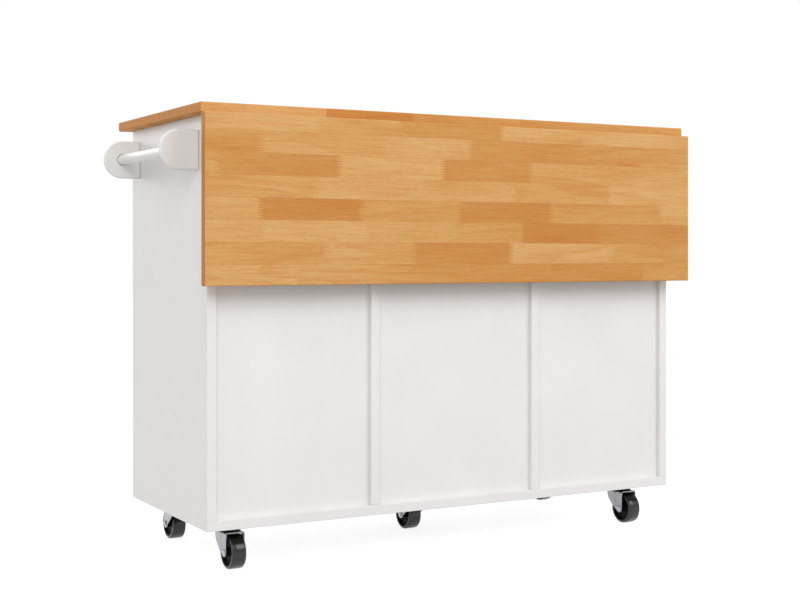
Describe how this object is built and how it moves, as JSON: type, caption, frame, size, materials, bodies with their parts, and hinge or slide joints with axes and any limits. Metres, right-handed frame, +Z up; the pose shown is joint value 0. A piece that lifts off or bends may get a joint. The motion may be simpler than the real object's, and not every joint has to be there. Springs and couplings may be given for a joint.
{
  "type": "drop leaf kitchen island",
  "caption": "Rolling kitchen island: white cupboard with doors and drawers, butcher-block worktop, a drop leaf along the back and a towel rack on one end.",
  "frame": {"origin": "middle of the footprint's bounding box, on the floor", "axes": "+Z up; +X along the cabinet towards the end with the towel rack; +Y towards the drop leaf, so the doors and drawers face -Y"},
  "size_m": [1.261, 0.539, 0.933],
  "materials": {
    "white_lacquer": "warm white satin lacquer on board",
    "butcher_block": "finger-jointed butcher block, satin oil, staves about 45 mm wide",
    "birch_ply": "pale bare ply, lightly sanded",
    "zinc_steel": "bright zinc plate on pressed steel",
    "black_steel": "black e-coat on pressed steel",
    "black_handle": "matt black powder coat",
    "wheel_black": "glossy black moulded nylon"
  },
  "bodies": {
    "cabinet": {"bottom_board": "white_lacquer", "side_panel_left": "white_lacquer", "side_panel_right": "white_lacquer", "divider_left": "white_lacquer", "divider_right": "white_lacquer", "back_panel_left": "white_lacquer", "back_panel_middle": "white_lacquer", "back_panel_right": "white_lacquer", "top_rails": "white_lacquer", "countertop": "butcher_block", "shelf_left": "white_lacquer", "shelf_right": "white_lacquer", "shelf_pins": "zinc_steel", "towel_arm_front": "white_lacquer", "towel_arm_back": "white_lacquer", "towel_rod": "white_lacquer", "door_hinge_arms": "zinc_steel", "drawer_slide_rails": "zinc_steel", "leaf_hinge_plates": "zinc_steel", "support_tracks": "zinc_steel", "caster_plates": "black_steel", "caster_screws": "zinc_steel"},
    "leaf": {"drop_leaf": "butcher_block", "leaf_hinge_flaps": "zinc_steel", "support_arms": "zinc_steel"},
    "left_strut": {"strut_left": "zinc_steel"},
    "right_strut": {"strut_right": "zinc_steel"},
    "left_door": {"door_left": "white_lacquer", "door_left_handle": "black_handle", "door_left_hinge_cups": "zinc_steel"},
    "right_door": {"door_right": "white_lacquer", "door_right_handle": "black_handle", "door_right_hinge_cups": "zinc_steel"},
    "drawer_1": {"drawer_1_front": "white_lacquer", "drawer_1_box": "birch_ply", "drawer_1_handle": "black_handle", "drawer_1_slides": "zinc_steel"},
    "drawer_2": {"drawer_2_front": "white_lacquer", "drawer_2_box": "birch_ply", "drawer_2_handle": "black_handle", "drawer_2_slides": "zinc_steel"},
    "drawer_3": {"drawer_3_front": "white_lacquer", "drawer_3_box": "birch_ply", "drawer_3_handle": "black_handle", "drawer_3_slides": "zinc_steel"},
    "caster_1": {"caster_1_fork": "zinc_steel", "caster_1_axle": "zinc_steel"},
    "wheel_1": {"caster_1_wheel": "wheel_black"},
    "caster_2": {"caster_2_fork": "zinc_steel", "caster_2_axle": "zinc_steel"},
    "wheel_2": {"caster_2_wheel": "wheel_black"},
    "caster_3": {"caster_3_fork": "zinc_steel", "caster_3_axle": "zinc_steel"},
    "wheel_3": {"caster_3_wheel": "wheel_black"},
    "caster_4": {"caster_4_fork": "zinc_steel", "caster_4_axle": "zinc_steel"},
    "wheel_4": {"caster_4_wheel": "wheel_black"},
    "caster_5": {"caster_5_fork": "zinc_steel", "caster_5_axle": "zinc_steel"},
    "wheel_5": {"caster_5_wheel": "wheel_black"}
  },
  "joints": [
    {"name": "leaf_fold", "type": "hinge", "parent": "cabinet", "child": "leaf", "pos_m": [-0.029, 0.24775, 0.91123], "axis": [1, 0, 0], "range_deg": [0, 90]},
    {"name": "left_strut_swing", "type": "hinge", "parent": "leaf", "child": "left_strut", "pos_m": [-0.2315, 0.24372, 0.79647], "axis": [1, 0, 0], "range_deg": [-140, 0]},
    {"name": "right_strut_swing", "type": "hinge", "parent": "leaf", "child": "right_strut", "pos_m": [0.1735, 0.24372, 0.79647], "axis": [1, 0, 0], "range_deg": [-140, 0]},
    {"name": "left_door_swing", "type": "hinge", "parent": "cabinet", "child": "left_door", "pos_m": [-0.605, -0.24352, 0.5], "axis": [0, 0, -1], "range_deg": [0, 100]},
    {"name": "right_door_swing", "type": "hinge", "parent": "cabinet", "child": "right_door", "pos_m": [0.547, -0.24352, 0.5], "axis": [0, 0, 1], "range_deg": [0, 100]},
    {"name": "drawer_1_slide", "type": "slide", "parent": "cabinet", "child": "drawer_1", "axis": [0, -1, 0], "range_m": [0, 0.29]},
    {"name": "drawer_2_slide", "type": "slide", "parent": "cabinet", "child": "drawer_2", "axis": [0, -1, 0], "range_m": [0, 0.29]},
    {"name": "drawer_3_slide", "type": "slide", "parent": "cabinet", "child": "drawer_3", "axis": [0, -1, 0], "range_m": [0, 0.29]},
    {"name": "caster_1_swivel", "type": "hinge", "parent": "cabinet", "child": "caster_1", "pos_m": [-0.5315, 0.14298, 0.0875], "axis": [0, 0, 1], "continuous": true},
    {"name": "caster_1_spin", "type": "hinge", "parent": "caster_1", "child": "wheel_1", "pos_m": [-0.5315, 0.16098, 0.035], "axis": [1, 0, 0], "continuous": true},
    {"name": "caster_2_swivel", "type": "hinge", "parent": "cabinet", "child": "caster_2", "pos_m": [0.4695, 0.14298, 0.0875], "axis": [0, 0, 1], "continuous": true},
    {"name": "caster_2_spin", "type": "hinge", "parent": "caster_2", "child": "wheel_2", "pos_m": [0.4695, 0.16098, 0.035], "axis": [1, 0, 0], "continuous": true},
    {"name": "caster_3_swivel", "type": "hinge", "parent": "cabinet", "child": "caster_3", "pos_m": [-0.5315, -0.16752, 0.0875], "axis": [0, 0, 1], "continuous": true},
    {"name": "caster_3_spin", "type": "hinge", "parent": "caster_3", "child": "wheel_3", "pos_m": [-0.5315, -0.18552, 0.035], "axis": [1, 0, 0], "continuous": true},
    {"name": "caster_4_swivel", "type": "hinge", "parent": "cabinet", "child": "caster_4", "pos_m": [0.4695, -0.16752, 0.0875], "axis": [0, 0, 1], "continuous": true},
    {"name": "caster_4_spin", "type": "hinge", "parent": "caster_4", "child": "wheel_4", "pos_m": [0.4695, -0.18552, 0.035], "axis": [1, 0, 0], "continuous": true},
    {"name": "caster_5_swivel", "type": "hinge", "parent": "cabinet", "child": "caster_5", "pos_m": [-0.044, -0.00952, 0.0875], "axis": [0, 0, 1], "continuous": true},
    {"name": "caster_5_spin", "type": "hinge", "parent": "caster_5", "child": "wheel_5", "pos_m": [-0.044, -0.02752, 0.035], "axis": [1, 0, 0], "continuous": true}
  ],
  "couplings": [
    {"joint": "left_strut_swing", "follows": "leaf_fold", "ratio": -1.5556},
    {"joint": "right_strut_swing", "follows": "leaf_fold", "ratio": -1.5556}
  ]
}
